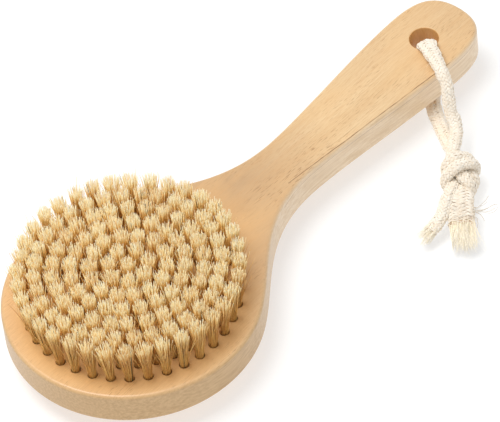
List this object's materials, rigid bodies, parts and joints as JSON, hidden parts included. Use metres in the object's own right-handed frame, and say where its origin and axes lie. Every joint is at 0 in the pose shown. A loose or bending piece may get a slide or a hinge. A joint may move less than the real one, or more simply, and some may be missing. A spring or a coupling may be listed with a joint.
{
  "type": "body dry brush",
  "caption": "Flat round-headed wooden body brush with short handle, rings of natural bristle tufts and a knotted cotton hanging cord.",
  "frame": {"origin": "centre of the round head on the bare back face of the board", "axes": "+Z out of the bristle side, +X along the handle from the head's centre to the tip, Y across the handle"},
  "size_m": [0.2265, 0.1171, 0.041],
  "materials": {
    "wood": "satin clear lacquer over fine straight-grained pale hardwood",
    "bristle": "stiff natural plant bristle, pale cut tips and golden roots",
    "anchor_wire": "flat drawn wire",
    "cord": "unbleached braided cotton, soft matt"
  },
  "bodies": {
    "brush": {"wooden_body": "wood", "tuft_center": "bristle", "tufts_ring_1": "bristle", "tufts_ring_2": "bristle", "tufts_ring_3": "bristle", "tufts_ring_4": "bristle", "tufts_ring_5": "bristle", "tufts_ring_6": "bristle", "anchor_center": "anchor_wire", "anchors_ring_1": "anchor_wire", "anchors_ring_2": "anchor_wire", "anchors_ring_3": "anchor_wire", "anchors_ring_4": "anchor_wire", "anchors_ring_5": "anchor_wire", "anchors_ring_6": "anchor_wire"},
    "loop": {"cord_loop": "cord"},
    "knot": {"cord_knot": "cord"},
    "frayed_tail": {"cord_tail_frayed": "cord"},
    "short_tail": {"cord_tail_short": "cord"}
  },
  "joints": [
    {"name": "cord_swing", "type": "hinge", "parent": "brush", "child": "loop", "pos_m": [0.1585, 0, 0.0067], "axis": [0, 0, 1], "range_deg": [-5, 250]},
    {"name": "knot_swing", "type": "hinge", "parent": "loop", "child": "knot", "pos_m": [0.13224, -0.03922, -0.00056], "axis": [0, 0, 1], "range_deg": [-20, 20]},
    {"name": "frayed_tail_bend", "type": "hinge", "parent": "knot", "child": "frayed_tail", "pos_m": [0.11928, -0.05195, -0.00159], "axis": [0, 0, 1], "range_deg": [-8, 18]},
    {"name": "short_tail_bend", "type": "hinge", "parent": "knot", "child": "short_tail", "pos_m": [0.11621, -0.0471, -0.00142], "axis": [0, 0, 1], "range_deg": [-18, 8]}
  ]
}
